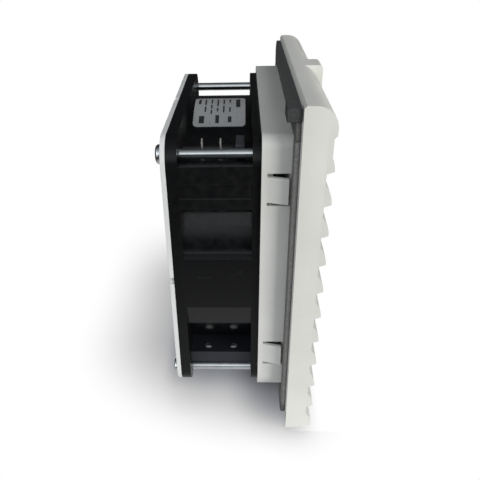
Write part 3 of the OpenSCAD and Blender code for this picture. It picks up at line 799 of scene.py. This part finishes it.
# The floor's shade, as the camera sees it, is painted and not cast: its numbers were fitted to the
# photograph's floor, and it is the same at every pose. First the half lengths of its outline, then
# its fade from the middle outwards, where 1 is the outline, and its fades at the far side and in
# front, in metres. A pair is a place and the strength there, a share of full darkness
SHADE_HALF_X = 0.088
SHADE_HALF_Y = 0.114
SHADE_FADE = ((0.28, 0.424), (1.02, 0.0))
SHADE_FAR = ((0.05, 1.0), (0.155, 0.0))
SHADE_FRONT = ((-0.022, 0.0), (-0.001, 1.0))
# More of it close behind the cover's foot and below the fan
FOOT_ALONG_Y = ((0.0, 1.0), (0.028, 0.0))
FOOT_ALONG_X = ((-0.082, 0.0), (-0.055, 0.09))
UNDER_ALONG_Y = ((0.05, 1.0), (0.062, 0.0))
UNDER_ALONG_X = ((-0.048, 0.0), (-0.028, 0.11))
# A weak shade close to the object itself, on the floor but not in the sunk field
TOUCH_REACH = 0.02
TOUCH_SHADE = 0.25
TOUCH_SAMPLES = 16
TOUCH_LEVELS = ((FLOOR_Z - 0.00003, 0.0), (FLOOR_Z - 0.00001, 1.0))
# Tint of the shade and the darkness from and to which it sets in
SHADE_TINT = (0.93, 0.965, 1.06)
TINT_FROM = 0.25
TINT_TO = 0.5
# Least brightness of the seen floor, and the power that turns display brightness into light
LEAST_SEEN = 0.1
DISPLAY_POWER = 2.2
# The light that the floor gives the object, near it and far from it, as pairs of radius and strength
FLOOR_LIGHT = ((0.09, 0.5), (0.30, 0.03))


def floor_mesh():
    """A square with the sunk field in it."""
    (x0, x1), (y0, y1) = SUNK_ALONG_X, SUNK_ALONG_Y
    outer = [(x * FLOOR_HALF, y * FLOOR_HALF, FLOOR_Z) for x, y in ((-1, -1), (1, -1), (1, 1), (-1, 1))]
    rim = [(x0, y0, FLOOR_Z), (x1, y0, FLOOR_Z), (x1, y1, FLOOR_Z), (x0, y1, FLOOR_Z)]
    bottom = [(x, y, z - SUNK_DEPTH) for x, y, z in rim]
    faces = [(ring + i, ring + j, ring + j + 4, ring + i + 4)
             for ring in (0, 4) for i, j in ((0, 1), (1, 2), (2, 3), (3, 0))]
    mesh = bpy.data.meshes.new("floor")
    mesh.from_pydata(outer + rim + bottom, [], faces + [(8, 9, 10, 11)])
    return mesh


def painted_shade(sums, x, y):
    """The painted part of the floor's shade."""
    along_x = sums.math("DIVIDE", sums.math("MINIMUM", x, 0.0), SHADE_HALF_X)
    along_y = sums.math("DIVIDE", sums.math("MAXIMUM", y, 0.0), SHADE_HALF_Y)
    reach = sums.math("SQRT", sums.math("ADD", sums.math("MULTIPLY", along_x, along_x),
                                        sums.math("MULTIPLY", along_y, along_y)))
    shade = sums.ramp(reach, *SHADE_FADE)
    for fade_y, fade_x in ((FOOT_ALONG_Y, FOOT_ALONG_X), (UNDER_ALONG_Y, UNDER_ALONG_X)):
        more = sums.math("MULTIPLY", sums.ramp(y, *fade_y), sums.ramp(x, *fade_x))
        shade = sums.math("ADD", shade, more)
    shade = sums.math("MULTIPLY", shade, sums.ramp(x, *SHADE_FAR))
    return sums.math("MULTIPLY", shade, sums.ramp(y, *SHADE_FRONT))


def touch_shade(sums, z):
    """The weak shade close to the object."""
    touch = sums.tree.nodes.new("ShaderNodeAmbientOcclusion")
    set_input(touch, "Distance", TOUCH_REACH)
    touch.samples = TOUCH_SAMPLES
    near = sums.math("MULTIPLY", sums.math("SUBTRACT", 1.0, touch.outputs["AO"]), TOUCH_SHADE)
    return sums.math("MULTIPLY", near, sums.ramp(z, *TOUCH_LEVELS))


def build_floor():
    """A floor that gives its own light: what the camera sees and what lights the object differ."""
    mesh = floor_mesh()
    floor = link("floor", mesh)
    material = bpy.data.materials.new("floor")
    material.use_nodes = True
    tree = material.node_tree
    tree.nodes.clear()
    sums = Sums(tree)
    whole, parts = sums.place("Object")
    length = tree.nodes.new("ShaderNodeVectorMath")
    length.operation = "LENGTH"
    tree.links.new(whole, length.inputs[0])
    lit = sums.ramp(length.outputs["Value"], *FLOOR_LIGHT)
    shade = painted_shade(sums, parts["X"], parts["Y"])
    shade = sums.math("ADD", shade, touch_shade(sums, parts["Z"]))
    bright = sums.math("MAXIMUM", sums.math("SUBTRACT", 1.0, shade), LEAST_SEEN)
    seen = sums.math("POWER", bright, DISPLAY_POWER)
    path = tree.nodes.new("ShaderNodeLightPath").outputs["Is Camera Ray"]
    strength = sums.math("ADD", sums.math("MULTIPLY", seen, path),
                         sums.math("MULTIPLY", lit, sums.math("SUBTRACT", 1.0, path)))
    glow = tree.nodes.new("ShaderNodeEmission")
    tree.links.new(strength, glow.inputs["Strength"])
    tint = tree.nodes.new("ShaderNodeValToRGB")
    set_stops(tint, (TINT_FROM, WHITE), (TINT_TO, SHADE_TINT))
    tree.links.new(shade, tint.inputs["Fac"])
    tree.links.new(tint.outputs["Color"], glow.inputs["Color"])
    out = tree.nodes.new("ShaderNodeOutputMaterial")
    tree.links.new(glow.outputs[0], out.inputs["Surface"])
    mesh.materials.append(material)


# Studio dome, which lights the object and shows in its gloss, but is white to the camera: a soft
# bank of light low on the near side, weaker overhead and none on the far side. Pairs are a part of
# the direction, up or to the near side, and strength
DOME_COLOUR = (0.94, 0.98, 1.0)
DOME_BASE = 0.03
DOME_BANK = 0.95
BANK_RISE = ((0.1, 0.0), (0.32, 1.0))
BANK_TOP = ((0.5, 1.0), (0.9, 0.35))
BANK_SIDE = ((-0.5, 0.0), (0.7, 1.0))


def build_world():
    """The dome for all rays but the camera's, which see white."""
    world = bpy.data.worlds.new("studio")
    bpy.context.scene.world = world
    world.use_nodes = True
    tree = world.node_tree
    sky = tree.nodes["Background"]
    set_input(sky, "Color", (*DOME_COLOUR, 1.0))
    sums = Sums(tree)
    _, parts = sums.place("Generated")
    up, near = parts["Z"], sums.math("MULTIPLY", parts["X"], -1.0)
    bank = sums.math("MULTIPLY", sums.ramp(up, *BANK_RISE), sums.ramp(up, *BANK_TOP))
    bank = sums.math("MULTIPLY", bank, sums.ramp(near, *BANK_SIDE))
    strength = sums.math("ADD", sums.math("MULTIPLY", bank, DOME_BANK), DOME_BASE)
    tree.links.new(strength, sky.inputs["Strength"])
    backdrop = tree.nodes.new("ShaderNodeBackground")
    set_input(backdrop, "Color", (*WHITE, 1.0))
    chosen = tree.nodes.new("ShaderNodeMixShader")
    path = tree.nodes.new("ShaderNodeLightPath").outputs["Is Camera Ray"]
    tree.links.new(path, chosen.inputs[0])
    tree.links.new(sky.outputs[0], chosen.inputs[1])
    tree.links.new(backdrop.outputs[0], chosen.inputs[2])
    tree.links.new(chosen.outputs[0], tree.nodes["World Output"].inputs["Surface"])


build_camera()
build_floor()
build_world()
build_lamps()
bpy.context.scene.view_settings.view_transform = "Standard"
